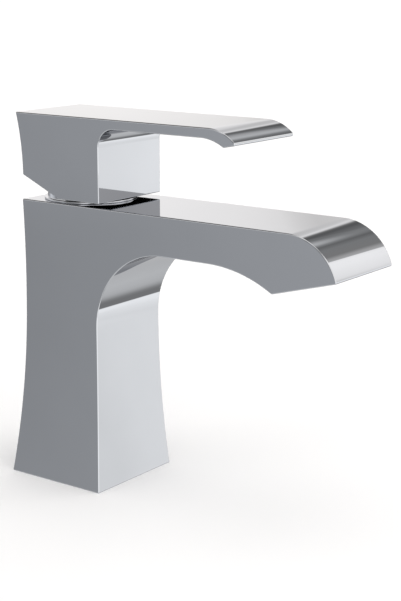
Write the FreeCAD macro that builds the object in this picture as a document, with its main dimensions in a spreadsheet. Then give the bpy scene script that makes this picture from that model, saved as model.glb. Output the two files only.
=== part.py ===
import FreeCAD, Part
import math
import os
import re

import Sketcher

# Single-lever basin faucet, closed, standing on its deck.
# Origin: the centre of the foot on the deck. +Z is up, the spout points to -Y, and +X is the right,
# seen from the front.
# The inner pieces are drawn about the lever's pivot, on the cartridge's upright axis.

SIZES = {
    # foot and column
    "foot_width": 50.0,
    "foot_depth": 50.4,
    "column_width": 42.2,
    "column_rear": 17.6,
    "column_front": 22.4,
    "waist_height": 93.5,
    "side_flare_height": 72.0,
    "body_height": 123.4,
    "column_wall": 3.6,
    "hollow_height": 80.0,
    "hollow_corner": 4.0,
    "chamber_floor": 18.35,
    # spout
    "spout_thickness": 16.46,
    "arch_radius": 34.9,
    "nose_reach": 138.9,
    "nose_run": 22.2,
    "nose_radius": 23.4,
    "nose_edge": 0.9,
    "heel_reach": 110.3,
    "heel_drop": 8.14,
    "underside_end": 80.0,
    # connections in the hollow of the column and the seal under the foot
    "inlet_spacing": 14.0,
    "inlet_bore_radius": 4.5,
    "inlet_depth": 12.0,
    "stud_back": 8.0,
    "stud_bore_radius": 3.4,
    "stud_depth": 12.0,
    "gasket_margin": 2.6,
    "gasket_width": 3.0,
    "gasket_thickness": 1.5,
    "gasket_corner": 3.0,
    "gasket_play": 0.1,
    # waterway to the outlet
    "throat_width": 10.0,
    "channel_width": 33.0,
    "channel_height": 9.6,
    "channel_start": 42.0,
    "channel_end": 119.0,
    # cartridge bore and the parts about its axis
    "axis_offset": 2.35,
    "pivot_rise": 0.6,
    "cartridge_radius": 12.5,
    "cartridge_wall": 1.6,
    "cartridge_play": 0.2,
    "running_gap": 0.3,
    "base_thickness": 5.5,
    "base_flange": 3.6,
    "port_radius": 2.6,
    "inlet_spread": 5.6,
    "inlet_forward": 3.4,
    "outlet_back": 5.4,
    "outlet_slot_width": 4.4,
    "outlet_slot_height": 2.2,
    "outlet_slot_floor": 1.2,
    "peg_radius": 1.4,
    "peg_height": 2.4,
    "peg_spread": 8.6,
    "peg_back": 5.2,
    "peg_play": 0.1,
    "seal_gap": 0.2,
    "seal_width": 1.0,
    "seal_thickness": 0.9,
    "key_radius": 1.0,
    "key_height": 2.4,
    "key_spread": 9.7,
    "fixed_disc_thickness": 4.0,
    "disc_film": 0.05,
    "moving_disc_thickness": 3.5,
    "moving_disc_radius": 8.6,
    "mixing_depth": 2.0,
    "mixing_width": 11.2,
    "mixing_front": 1.9,
    "mixing_back": 5.2,
    "carrier_width": 12.8,
    "carrier_floor": 1.6,
    "carrier_peg_radius": 1.0,
    "carrier_peg_height": 1.2,
    "carrier_peg_spread": 6.6,
    # rotor, pin and stop ring
    "rotor_drop": 7.0,
    "rotor_flange": 2.4,
    "rotor_radius": 8.6,
    "rotor_fit": 0.06,
    "rotor_top": 6.0,
    "rotor_slot_length": 11.6,
    "rail_width": 2.4,
    "rail_length": 9.6,
    "rail_depth": 4.0,
    "rotor_seal_radius": 0.5,
    "rotor_seal_depth": 3.4,
    "pin_radius": 2.0,
    "pin_length": 16.8,
    "pin_fit": 0.02,
    "stem_pin_fit": 0.05,
    "stop_height": 3.6,
    "stop_floor": 1.0,
    "stop_wall": 1.6,
    "stop_half_angle": 56.0,
    "lug_width": 2.8,
    "lug_reach": 1.6,
    "lug_height": 2.2,
    # housing, nut and dome
    "housing_roof": 1.6,
    "housing_neck_wall": 1.9,
    "housing_neck_height": 1.6,
    "housing_seal_radius": 0.55,
    "housing_seal_height": 4.0,
    "nut_thread_radius": 13.95,
    "thread_fit": 0.05,
    "nut_thread_length": 6.3,
    "nut_flange_radius": 16.1,
    "nut_flange_thickness": 2.4,
    "nut_flats": 27.0,
    "nut_height": 6.0,
    "dome_radius": 18.6,
    "dome_wall": 1.4,
    "dome_opening": 10.0,
    "dome_foot_width": 1.4,
    "dome_foot_height": 0.85,
    "dome_seal_radius": 0.8,
    # stem
    "stem_lean": 11.0,
    "stem_side": 8.0,
    "stem_foot": 4.0,
    "stem_length": 29.0,
    "stem_play": 0.25,
    "socket_play": 0.06,
    "arm_length": 8.5,
    "arm_radius": 1.7,
    "finger_radius": 2.2,
    "finger_play": 0.3,
    # handle
    "handle_width": 41.3,
    "handle_gap": 1.6,
    "handle_height": 35.34,
    "handle_front": 24.1,
    "handle_rear": 18.2,
    "handle_overhang": 3.3,
    "chamfer_start": 2.0,
    "chamfer_rise": 8.8,
    "lever_reach": 92.4,
    "lever_thickness": 4.14,
    "lever_nose_radius": 19.0,
    "lever_nose_run": 12.9,
    "lever_edge": 1.1,
    "lip_reach": 87.0,
    "lip_drop": 3.1,
    "lip_start": 76.0,
    "lever_fillet": 8.2,
    "dome_gap": 0.7,
    "screw_height": 23.0,
    "screw_radius": 2.95,
    "screw_fit": 0.05,
    "screw_length": 8.0,
    "screw_key": 3.0,
    "screw_key_depth": 3.0,
    "plug_radius": 3.9,
    "plug_length": 4.4,
    "plug_head": 0.4,
    "plug_fit": 0.05,
    # aerator
    "aerator_radius": 10.7,
    "aerator_fit": 0.05,
    "aerator_wall": 1.4,
    "aerator_lip": 1.0,
    "aerator_lip_thickness": 1.2,
    "aerator_recess": 0.4,
    "grid_thickness": 2.0,
    "grid_hole_radius": 1.2,
    "grid_pitch": 3.0,
    "diffuser_thickness": 2.4,
    "diffuser_hole_radius": 0.7,
    "diffuser_ring_radius": 6.4,
    "screen_thickness": 0.8,
    "screen_hole_radius": 0.9,
    "screen_pitch": 2.5,
    "washer_thickness": 1.6,
    "washer_width": 2.6,
    "outlet_well_radius": 7.0,
    "outlet_well_depth": 4.0,
}

# How far a cut runs past the surface that it starts from, and how many holes the aerator's diffuser has.
OVERRUN = "1"
DIFFUSER_HOLES = 16

# The numbers by which a sketch knows the points of an edge.
START, END, CENTRE = range(1, 4)

# Cubic mm by which a volume may differ when nothing is added.
VOLUME_NOISE = 1e-3

document = FreeCAD.newDocument("basin_faucet")
sheet = document.addObject("Spreadsheet::Sheet", "sizes")
for row, (alias, number) in enumerate(SIZES.items(), start=1):
    sheet.set(f"A{row}", alias.replace("_", " "))
    sheet.set(f"B{row}", str(number))
    sheet.setAlias(f"B{row}", alias)
document.recompute()


def bound(words):
    """An expression of size names, with each name pointing at its cell."""
    return re.sub(r"[a-z]\w*", lambda name: f"sizes.{name[0]}" if name[0] in SIZES else name[0], words)


def size(words):
    """The number that an expression of size names gives now."""
    return float(sheet.evalExpression(bound(words)))


def flare_radius(length, spread):
    """Radius of an arc that starts along a straight line and leaves it by spread over length.

    It is negative where the spread is, as on a foot that is narrower than its column.
    """
    return f"((({length})^2 + ({spread})^2) / (2 * ({spread})))"


def nose_end(top, radius, run):
    """Level at which a nose ends that leaves the top smoothly and curves down over run."""
    return f"({top} - {radius} + sqrt(max({radius}^2 - {run}^2; 0)))"


# Levels and places that several pieces share, as expressions of the sizes.
# Those of the cartridge count from the pivot.
PIVOT = "(body_height + pivot_rise)"
UNDERSIDE = "(body_height - spout_thickness)"
ARCH_START = "(body_height - spout_thickness - arch_radius)"
NOSE_END = nose_end("body_height", "nose_radius", "nose_run")
TIP = f"({NOSE_END} - nose_edge)"
HEEL = "(body_height - spout_thickness - heel_drop)"
OUTLET_RUN = "(nose_reach - heel_reach)"
OUTLET_RISE = f"({TIP} - {HEEL})"
OUTLET_TURN = f"-atan({OUTLET_RISE} / {OUTLET_RUN})"
BODY_TOP = "(-pivot_rise)"
CARRIER_TOP = "(-(rotor_drop + running_gap))"
CARRIER_BOTTOM = "(-(arm_length + finger_radius + finger_play + carrier_floor))"
MOVING_BOTTOM = f"({CARRIER_BOTTOM} - moving_disc_thickness)"
FIXED_TOP = f"({MOVING_BOTTOM} - disc_film)"
FIXED_BOTTOM = f"({FIXED_TOP} - fixed_disc_thickness)"
FLOOR = f"({FIXED_BOTTOM} - base_thickness)"
CHAMBER_UNDERSIDE = f"({PIVOT} + {FLOOR} - chamber_floor)"
CAVITY_RADIUS = "(cartridge_radius - cartridge_wall)"
ROOF = "(-rotor_drop + rotor_flange + running_gap)"
SHOULDER = f"({ROOF} + housing_roof)"
NECK_RADIUS = "(rotor_radius + rotor_fit + housing_neck_wall)"
NECK_TOP = f"({SHOULDER} + nut_flange_thickness + housing_neck_height)"
NUT_BORE = f"({NECK_RADIUS} + running_gap)"
NUT_END = f"({SHOULDER} - nut_thread_length)"
NUT_FLANGE = f"({BODY_TOP} + running_gap)"
DOME_BORE = "(dome_radius - dome_wall)"
SEAL_BORE = "(port_radius + seal_gap)"
SEAL_RADIUS = f"({SEAL_BORE} + seal_width)"
SLIDE_OFFSET = "(arm_length * sin(stem_lean))"
HANDLE_BOTTOM = "(body_height + handle_gap)"
HANDLE_TOP = f"({HANDLE_BOTTOM} + handle_height)"
CHAMFER_TOP = f"({HANDLE_BOTTOM} + chamfer_rise)"
PLATE_UNDERSIDE = f"({HANDLE_TOP} - lever_thickness)"
LEVER_NOSE_END = nose_end(HANDLE_TOP, "lever_nose_radius", "lever_nose_run")
REAR_RADIUS = flare_radius(f"{HANDLE_TOP} - {CHAMFER_TOP}", "handle_overhang")
SCREW_LEVEL = f"({PIVOT} + screw_height)"
PLUG_MOUTH = (
    f"(handle_rear + {REAR_RADIUS} - sqrt({REAR_RADIUS}^2 - ({SCREW_LEVEL} - {CHAMFER_TOP})^2)"
    " + axis_offset)"
)
AERATOR_BORE = "(aerator_radius - aerator_wall)"
GRID_LEVEL = "(aerator_recess + aerator_lip_thickness)"
DIFFUSER_LEVEL = f"({GRID_LEVEL} + grid_thickness)"
SCREEN_LEVEL = f"({DIFFUSER_LEVEL} + diffuser_thickness)"
WASHER_LEVEL = f"({SCREEN_LEVEL} + screen_thickness)"
AERATOR_DEPTH = f"({WASHER_LEVEL} + washer_thickness)"


def new_body(label):
    body = document.addObject("PartDesign::Body", label)
    body.Label = label
    body.AllowCompound = True
    return body


def put(piece, across="0", back="0", up="0", turn=None):
    """Places a piece; turn leans it about the X axis, in degrees, forwards where positive."""
    if turn:
        piece.Placement = FreeCAD.Placement(FreeCAD.Vector(), FreeCAD.Rotation(FreeCAD.Vector(1, 0, 0), 1))
        piece.setExpression("Placement.Rotation.Angle", bound(turn))
    for axis, place in zip("xyz", (across, back, up)):
        piece.setExpression(f"Placement.Base.{axis}", bound(place))
    return piece


def at_pivot(piece, back="0", turn=None):
    return put(piece, back=f"{back} - axis_offset", up=PIVOT, turn=turn)


def at_outlet(piece):
    return put(piece, back="-(nose_reach + heel_reach) / 2", up=f"({TIP} + {HEEL}) / 2", turn=OUTLET_TURN)


def new_sketch(body, plane, across="0", up="0", level="0", turn=None):
    """A sketch on one of the body's origin planes, shifted along it, off it by level, and turned in it."""
    sketch = body.newObject("Sketcher::SketchObject", "outline")
    support = next(f for f in body.Origin.OriginFeatures if f.Role == f"{plane}_Plane")
    sketch.AttachmentSupport = (support, [""])
    sketch.MapMode = "FlatFace"
    for axis, place in zip("xyz", (across, up, level)):
        sketch.setExpression(f"AttachmentOffset.Base.{axis}", bound(place))
    if turn:
        sketch.setExpression("AttachmentOffset.Rotation.Angle", bound(turn))
    return sketch


def fix(sketch, kind, edge, words, end=None):
    """Constrains a length of the sketch to an expression of the sizes."""
    if kind == "Radius":
        index = sketch.addConstraint(Sketcher.Constraint(kind, edge, abs(size(words))))
        words = f"abs({words})"
    elif words == "0":
        # Axis -2 of a sketch is its upright one, and -1 its level one.
        on_axis = -2 if kind == "DistanceX" else -1
        sketch.addConstraint(Sketcher.Constraint("PointOnObject", edge, end, on_axis))
        return
    else:
        # Point START of axis -1 is the sketch's origin.
        index = sketch.addConstraint(Sketcher.Constraint(kind, -1, START, edge, end, size(words)))
    sketch.setExpression(f"Constraints[{index}]", bound(words))


def round_edge(start, end, turn, radius):
    """The shorter arc from start to end that turns left or right, and the ends of it that they are.

    A negative radius turns it the other way.
    """
    chord = end - start
    height = math.sqrt(max(radius**2 - chord.Length**2 / 4, 0.0))
    to_left = FreeCAD.Vector(-chord.y, chord.x, 0) / chord.Length
    leftwards = (turn == "left") == (radius > 0)
    centre = (start + end) / 2 + to_left * (height if leftwards else -height)
    first, last = (start, end) if leftwards else (end, start)
    angles = [math.atan2(point.y - centre.y, point.x - centre.x) for point in (first, last)]
    circle = Part.Circle(centre, FreeCAD.Vector(0, 0, 1), abs(radius))
    return Part.ArcOfCircle(circle, *angles), (START, END) if leftwards else (END, START)


def outline(sketch, corners):
    """Draws a closed loop of (across, up) corners.

    A corner has (turn, radius) added where a round edge leaves it.
    """
    points = [FreeCAD.Vector(size(corner[0]), size(corner[1]), 0) for corner in corners]
    edges = []
    for index, corner in enumerate(corners):
        start, end = points[index], points[(index + 1) % len(points)]
        if len(corner) == 4:
            shape, ends = round_edge(start, end, corner[2], size(corner[3]))
        else:
            shape, ends = Part.LineSegment(start, end), (START, END)
        edges.append((sketch.addGeometry(shape), *ends))
    for index, (edge, start, end) in enumerate(edges):
        following, following_start, _ = edges[(index + 1) % len(edges)]
        sketch.addConstraint(Sketcher.Constraint("Coincident", edge, end, following, following_start))
        fix(sketch, "DistanceX", edge, corners[index][0], start)
        fix(sketch, "DistanceY", edge, corners[index][1], start)
        if len(corners[index]) == 4:
            fix(sketch, "Radius", edge, corners[index][3])


def ring(sketch, radius, across="0", up="0"):
    """Draws a circle."""
    centre = FreeCAD.Vector(size(across), size(up), 0)
    edge = sketch.addGeometry(Part.Circle(centre, FreeCAD.Vector(0, 0, 1), size(radius)))
    fix(sketch, "DistanceX", edge, across, CENTRE)
    fix(sketch, "DistanceY", edge, up, CENTRE)
    fix(sketch, "Radius", edge, radius)


def rectangle(sketch, left, right, low, high):
    outline(sketch, [(left, low), (right, low), (right, high), (left, high)])


def rounded_rectangle(sketch, left, right, low, high, corner):
    outline(
        sketch,
        [
            (f"{left} + {corner}", low),
            (f"{right} - {corner}", low, "left", corner),
            (right, f"{low} + {corner}"),
            (right, f"{high} - {corner}", "left", corner),
            (f"{right} - {corner}", high),
            (f"{left} + {corner}", high, "left", corner),
            (left, f"{high} - {corner}"),
            (left, f"{low} + {corner}", "left", corner),
        ],
    )


def hexagon(sketch, flats):
    corner_reach = f"({flats} / sqrt(3))"
    turns = range(30, 390, 60)
    outline(sketch, [(f"{corner_reach} * cos({turn})", f"{corner_reach} * sin({turn})") for turn in turns])


def extrude(body, kind, sketch, length=None, both_ways=False, upwards=True, may_be_inside=False):
    """Pads or pockets a sketch by a length, or right through where none is given.

    A pad that may be inside lies wholly in the metal at some sizes, and then adds nothing.
    """
    feature = body.newObject(f"PartDesign::{kind}", kind.lower())
    feature.Profile = sketch
    feature.SideType = "Symmetric" if both_ways else "One side"
    default_is_up = kind == "Pad"
    feature.Reversed = upwards != default_is_up
    if length is None:
        feature.Type = "ThroughAll"
    else:
        feature.setExpression("Length", bound(length))
    return finished(body, feature, adds=kind == "Pad", may_be_inside=may_be_inside)


def turn_solid(body, kind, sketch):
    """Revolves a half profile, as a solid or as a cut, about the sketch's upright axis."""
    feature = body.newObject(f"PartDesign::{kind}", kind.lower())
    feature.Profile = sketch
    feature.ReferenceAxis = (sketch, ["V_Axis"])
    feature.Angle = 360
    return finished(body, feature, adds=kind == "Revolution")


def finished(body, feature, adds, may_be_inside=False):
    """Builds a feature, and stops if it failed or changed the volume the wrong way."""
    before = body.Shape.Volume if not body.Shape.isNull() else 0.0
    document.recompute()
    after = body.Shape.Volume if not body.Shape.isNull() else 0.0
    change = after - before if adds else before - after
    as_meant = change > -VOLUME_NOISE if may_be_inside else change > 0
    if "Invalid" in feature.State or not as_meant:
        raise RuntimeError(f"{body.Label}: {feature.Name} went from {before:.2f} to {after:.2f} cubic mm")
    return feature


def lathe(label, corners):
    """A round piece from its half profile (radius, up)."""
    body = new_body(label)
    sketch = new_sketch(body, "YZ")
    outline(sketch, corners)
    turn_solid(body, "Revolution", sketch)
    return body


def torus(label, centre_radius, section_radius, up):
    piece = document.addObject("Part::Torus", label)
    piece.Label = label
    piece.setExpression("Radius1", bound(centre_radius))
    piece.setExpression("Radius2", bound(section_radius))
    return put(piece, back="-axis_offset", up=f"{PIVOT} + {up}")


def spout_body():
    """The cast body: a flared column and arched spout, with the cartridge bore, waterway and connections."""
    body = new_body("spout_body")
    foot_rear = "foot_depth / 2"
    rear_radius = flare_radius("waist_height", f"{foot_rear} - column_rear")
    rear_lean = f"((body_height - waist_height) / {rear_radius})"
    rear_top = f"column_rear + {rear_radius} * (1 - sqrt(1 - {rear_lean}^2))"
    side = new_sketch(body, "YZ")
    outline(
        side,
        [
            (foot_rear, "0", "right", rear_radius),
            (rear_top, "body_height"),
            ("nose_run - nose_reach", "body_height", "left", "nose_radius"),
            ("-nose_reach", NOSE_END),
            ("-nose_reach", TIP),
            ("-heel_reach", HEEL, "right", flare_radius("heel_reach - underside_end", "heel_drop")),
            ("-underside_end", UNDERSIDE),
            ("-(column_front + arch_radius)", UNDERSIDE, "right", "arch_radius"),
            ("-column_front", ARCH_START, "right", flare_radius(ARCH_START, f"{foot_rear} - column_front")),
            (f"-{foot_rear}", "0"),
        ],
    )
    widest = "max(foot_width; column_width)"
    extrude(body, "Pad", side, widest, both_ways=True)

    flare = flare_radius("side_flare_height", "(foot_width - column_width) / 2")
    front = new_sketch(body, "XZ")
    for sign, turn in (("", "left"), ("-", "right")):
        foot, column = f"{sign}foot_width / 2", f"{sign}column_width / 2"
        beyond = f"{sign}({widest} / 2 + {OVERRUN})"
        top = f"body_height + {OVERRUN}"
        outline(
            front,
            [
                (foot, "0"),
                (beyond, "0"),
                (beyond, top),
                (column, top),
                (column, "side_flare_height", turn, flare),
            ],
        )
    extrude(body, "Pocket", front, both_ways=True)

    underside = new_sketch(body, "XY")
    half = "(column_width / 2 - column_wall)"
    hollow_front, hollow_rear = "-(column_front - column_wall)", "(column_rear - column_wall)"
    rounded_rectangle(underside, f"-{half}", half, hollow_front, hollow_rear, "hollow_corner")
    extrude(body, "Pocket", underside, "hollow_height", upwards=True)

    chamber = "(cartridge_radius + cartridge_play)"
    boss = new_sketch(body, "XY", up="-axis_offset", level=CHAMBER_UNDERSIDE)
    ring(boss, f"{chamber} + column_wall")
    extrude(body, "Pad", boss, f"body_height - {CHAMBER_UNDERSIDE}", may_be_inside=True)

    connections = new_sketch(body, "XY")
    for sign in ("", "-"):
        ring(connections, "inlet_bore_radius", f"{sign}inlet_spacing / 2", "-(axis_offset + inlet_forward)")
    extrude(body, "Pocket", connections, f"{CHAMBER_UNDERSIDE} + inlet_depth", upwards=True)
    stud = new_sketch(body, "XY")
    ring(stud, "stud_bore_radius", "0", "stud_back")
    extrude(body, "Pocket", stud, f"{CHAMBER_UNDERSIDE} + stud_depth", upwards=True)

    thread = "(nut_thread_radius + thread_fit)"
    bore = new_sketch(body, "YZ", across="-axis_offset", up=PIVOT)
    ledge = f"{NUT_END} - running_gap"
    outline(
        bore,
        [
            ("0", FLOOR),
            (chamber, FLOOR),
            (chamber, ledge),
            (thread, ledge),
            (thread, f"{BODY_TOP} + {OVERRUN}"),
            ("0", f"{BODY_TOP} + {OVERRUN}"),
        ],
    )
    turn_solid(body, "Groove", bore)

    floor = new_sketch(body, "XY", up="-axis_offset", level=f"{PIVOT} + {FLOOR}")
    for sign in ("", "-"):
        ring(floor, "port_radius", f"{sign}inlet_spread", "-inlet_forward")
    extrude(body, "Pocket", floor, f"chamber_floor - inlet_depth + {OVERRUN}", upwards=False)
    pegs = new_sketch(body, "XY", up="-axis_offset", level=f"{PIVOT} + {FLOOR}")
    for sign in ("", "-"):
        ring(pegs, "peg_radius + peg_play", f"{sign}peg_spread", "peg_back")
    extrude(body, "Pocket", pegs, "peg_height + running_gap", upwards=False)

    middle = f"({UNDERSIDE} + body_height) / 2"
    low, high = f"{middle} - channel_height / 2", f"{middle} + channel_height / 2"
    slot_low = f"{PIVOT} + {FLOOR} + outlet_slot_floor"
    entry = "-(axis_offset + cartridge_radius / 2)"
    throat = new_sketch(body, "YZ")
    outline(
        throat,
        [
            (entry, slot_low),
            ("-channel_start", low),
            (f"-(channel_start + {OVERRUN})", low),
            (f"-(channel_start + {OVERRUN})", high),
            ("-channel_start", high),
            (entry, f"{slot_low} + outlet_slot_height"),
        ],
    )
    extrude(body, "Pocket", throat, "throat_width", both_ways=True)
    channel = new_sketch(body, "YZ")
    rectangle(channel, "-channel_end", "-channel_start", low, high)
    extrude(body, "Pocket", channel, "channel_width", both_ways=True)

    outlet = new_sketch(
        body, "YZ", across="-(nose_reach + heel_reach) / 2", up=f"({TIP} + {HEEL}) / 2", turn=OUTLET_TURN
    )
    socket = "aerator_radius + aerator_fit"
    well = f"{AERATOR_DEPTH} + outlet_well_depth"
    outline(
        outlet,
        [
            ("0", f"-{OVERRUN}"),
            (socket, f"-{OVERRUN}"),
            (socket, AERATOR_DEPTH),
            ("outlet_well_radius", AERATOR_DEPTH),
            ("outlet_well_radius", well),
            ("0", well),
        ],
    )
    turn_solid(body, "Groove", outlet)

    groove = new_sketch(body, "XY")
    gasket_loop(groove, "gasket_play")
    extrude(body, "Pocket", groove, "gasket_thickness", upwards=True)
    return body


def gasket_loop(sketch, play):
    """The two outlines of the foot's seal, or of its groove where play is wider."""
    for inset, sign in (("gasket_margin", "-"), ("gasket_margin + gasket_width", "+")):
        side = f"(foot_width / 2 - ({inset} {sign} {play}))"
        end = f"(foot_depth / 2 - ({inset} {sign} {play}))"
        rounded_rectangle(sketch, f"-{side}", side, f"-{end}", end, "gasket_corner")


def foot_gasket():
    body = new_body("foot_gasket")
    loop = new_sketch(body, "XY")
    gasket_loop(loop, "0")
    extrude(body, "Pad", loop, "gasket_thickness")
    return body


def dome_cover():
    """The thin dome that hides the nut; its round follows the pivot, so the handle tilts over its foot."""
    inner_foot = f"sqrt({DOME_BORE}^2 - pivot_rise^2)"
    foot_radius = "dome_radius + dome_foot_width"
    foot_top = f"({BODY_TOP} + dome_foot_height)"
    return at_pivot(
        lathe(
            "dome_cover",
            [
                (inner_foot, BODY_TOP),
                (foot_radius, BODY_TOP),
                (foot_radius, foot_top),
                (f"sqrt(dome_radius^2 - {foot_top}^2)", foot_top, "left", "dome_radius"),
                ("dome_opening", "sqrt(dome_radius^2 - dome_opening^2)"),
                ("dome_opening", f"sqrt({DOME_BORE}^2 - dome_opening^2)", "right", DOME_BORE),
            ],
        )
    )


DOME_SEAL_LEVEL = f"({NUT_FLANGE} + nut_flange_thickness / 2)"
DOME_SEAL_CENTRE = f"({DOME_BORE} - dome_seal_radius - rotor_fit)"


def dome_o_ring():
    return torus("dome_o_ring", DOME_SEAL_CENTRE, "dome_seal_radius", DOME_SEAL_LEVEL)


def retaining_nut():
    """The nut over the cartridge: a thread, a lip on the housing, a grooved flange and a hexagon."""
    groove_floor = f"({DOME_SEAL_CENTRE} - dome_seal_radius)"
    flange_top = f"({NUT_FLANGE} + nut_flange_thickness)"
    groove_low = f"({DOME_SEAL_LEVEL} - dome_seal_radius)"
    groove_high = f"({DOME_SEAL_LEVEL} + dome_seal_radius)"
    skirt = "(cartridge_radius + cartridge_play / 2)"
    body = lathe(
        "retaining_nut",
        [
            (skirt, NUT_END),
            ("nut_thread_radius", NUT_END),
            ("nut_thread_radius", NUT_FLANGE),
            ("nut_flange_radius", NUT_FLANGE),
            ("nut_flange_radius", groove_low),
            (groove_floor, groove_low),
            (groove_floor, groove_high),
            ("nut_flange_radius", groove_high),
            ("nut_flange_radius", flange_top),
            (NUT_BORE, flange_top),
            (NUT_BORE, SHOULDER),
            (skirt, SHOULDER),
        ],
    )
    head = new_sketch(body, "XY", level=flange_top)
    hexagon(head, "nut_flats")
    ring(head, NUT_BORE)
    extrude(body, "Pad", head, f"nut_height - {flange_top}")
    return at_pivot(body)


HOUSING_SEAL_LEVEL = f"({FLOOR} + base_flange + housing_seal_height)"
HOUSING_SEAL_CENTRE = "(cartridge_radius + cartridge_play - housing_seal_radius - rotor_fit)"


def housing_o_ring():
    return torus("housing_o_ring", HOUSING_SEAL_CENTRE, "housing_seal_radius", HOUSING_SEAL_LEVEL)


def cartridge_housing():
    """The cartridge's shell, from the base's flange to the neck that guides the rotor."""
    groove_floor = f"({HOUSING_SEAL_CENTRE} - housing_seal_radius)"
    groove_low = f"({HOUSING_SEAL_LEVEL} - housing_seal_radius)"
    groove_high = f"({HOUSING_SEAL_LEVEL} + housing_seal_radius)"
    rotor_bore = "rotor_radius + rotor_fit"
    skirt = f"{FLOOR} + base_flange"
    return at_pivot(
        lathe(
            "cartridge_housing",
            [
                (CAVITY_RADIUS, skirt),
                ("cartridge_radius", skirt),
                ("cartridge_radius", groove_low),
                (groove_floor, groove_low),
                (groove_floor, groove_high),
                ("cartridge_radius", groove_high),
                ("cartridge_radius", SHOULDER),
                (NECK_RADIUS, SHOULDER),
                (NECK_RADIUS, NECK_TOP),
                (rotor_bore, NECK_TOP),
                (rotor_bore, ROOF),
                (CAVITY_RADIUS, ROOF),
            ],
        )
    )


PORTS = [("inlet_spread", "-inlet_forward"), ("-inlet_spread", "-inlet_forward")]
OUTLET_PORT = ("0", "outlet_back")


def cartridge_base():
    """The cartridge's floor: two inlets through it, and an outlet that turns out of its front."""
    boss = f"({CAVITY_RADIUS} - rotor_fit)"
    flange_top = f"{FLOOR} + base_flange"
    body = lathe(
        "cartridge_base",
        [
            ("0", FLOOR),
            ("cartridge_radius", FLOOR),
            ("cartridge_radius", flange_top),
            (boss, flange_top),
            (boss, FIXED_BOTTOM),
            ("0", FIXED_BOTTOM),
        ],
    )
    pegs = new_sketch(body, "XY", level=FLOOR)
    for sign in ("", "-"):
        ring(pegs, "peg_radius", f"{sign}peg_spread", "peg_back")
    extrude(body, "Pad", pegs, "peg_height", upwards=False)
    keys = new_sketch(body, "XY", level=FIXED_BOTTOM)
    for sign in ("", "-"):
        ring(keys, "key_radius", f"{sign}key_spread", "0")
    extrude(body, "Pad", keys, "key_height")
    inlets = new_sketch(body, "XY", level=FIXED_BOTTOM)
    for across, back in PORTS:
        ring(inlets, "port_radius", across, back)
    extrude(body, "Pocket", inlets, "base_thickness", upwards=False)
    outlet = new_sketch(body, "XY", level=FIXED_BOTTOM)
    ring(outlet, "port_radius", *OUTLET_PORT)
    extrude(body, "Pocket", outlet, "base_thickness - outlet_slot_floor", upwards=False)
    slot = new_sketch(body, "YZ")
    slot_low = f"{FLOOR} + outlet_slot_floor"
    rectangle(
        slot, f"-(cartridge_radius + {OVERRUN})", "outlet_back", slot_low, f"{slot_low} + outlet_slot_height"
    )
    extrude(body, "Pocket", slot, "outlet_slot_width", both_ways=True)
    seats = new_sketch(body, "XY", level=FIXED_BOTTOM)
    seal_outlines(seats, [*PORTS, OUTLET_PORT])
    extrude(body, "Pocket", seats, "seal_thickness", upwards=False)
    lower_seats = new_sketch(body, "XY", level=FLOOR)
    seal_outlines(lower_seats, PORTS)
    extrude(body, "Pocket", lower_seats, "seal_thickness", upwards=True)
    return at_pivot(body)


def seal_outlines(sketch, ports):
    for across, back in ports:
        ring(sketch, SEAL_BORE, across, back)
        ring(sketch, SEAL_RADIUS, across, back)


def port_seals():
    """The two rings between the base's inlets and the floor of the body's bore."""
    body = new_body("port_seals")
    rings = new_sketch(body, "XY", level=FLOOR)
    seal_outlines(rings, PORTS)
    extrude(body, "Pad", rings, "seal_thickness")
    return at_pivot(body)


def disc_seals():
    """The three rings between the base and the fixed disc."""
    body = new_body("disc_seals")
    rings = new_sketch(body, "XY", level=f"{FIXED_BOTTOM} - seal_thickness")
    seal_outlines(rings, [*PORTS, OUTLET_PORT])
    extrude(body, "Pad", rings, "seal_thickness")
    return at_pivot(body)


def fixed_disc():
    """The lower ceramic disc, keyed to the base."""
    body = new_body("fixed_disc")
    disc = new_sketch(body, "XY", level=FIXED_BOTTOM)
    ring(disc, f"{CAVITY_RADIUS} - running_gap")
    extrude(body, "Pad", disc, "fixed_disc_thickness")
    ports = new_sketch(body, "XY", level=FIXED_TOP)
    for across, back in [*PORTS, OUTLET_PORT]:
        ring(ports, "port_radius", across, back)
    extrude(body, "Pocket", ports, "fixed_disc_thickness", upwards=False)
    notches = new_sketch(body, "XY", level=FIXED_BOTTOM)
    for sign in ("", "-"):
        ring(notches, "key_radius + peg_play", f"{sign}key_spread", "0")
    extrude(body, "Pocket", notches, "key_height + running_gap", upwards=True)
    return at_pivot(body)


def moving_disc():
    """The upper ceramic disc, with the mixing recess in its underside and holes for the carrier's pegs."""
    body = new_body("moving_disc")
    disc = new_sketch(body, "XY", level=MOVING_BOTTOM)
    ring(disc, "moving_disc_radius")
    extrude(body, "Pad", disc, "moving_disc_thickness")
    recess = new_sketch(body, "XY", level=MOVING_BOTTOM)
    rectangle(recess, "-mixing_width / 2", "mixing_width / 2", "-mixing_front", "mixing_back")
    extrude(body, "Pocket", recess, "mixing_depth", upwards=True)
    holes = new_sketch(body, "XY", level=CARRIER_BOTTOM)
    for sign in ("", "-"):
        ring(holes, "carrier_peg_radius + peg_play", "0", f"{sign}carrier_peg_spread")
    extrude(body, "Pocket", holes, "carrier_peg_height + peg_play", upwards=False)
    return at_pivot(body, back=SLIDE_OFFSET)


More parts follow.
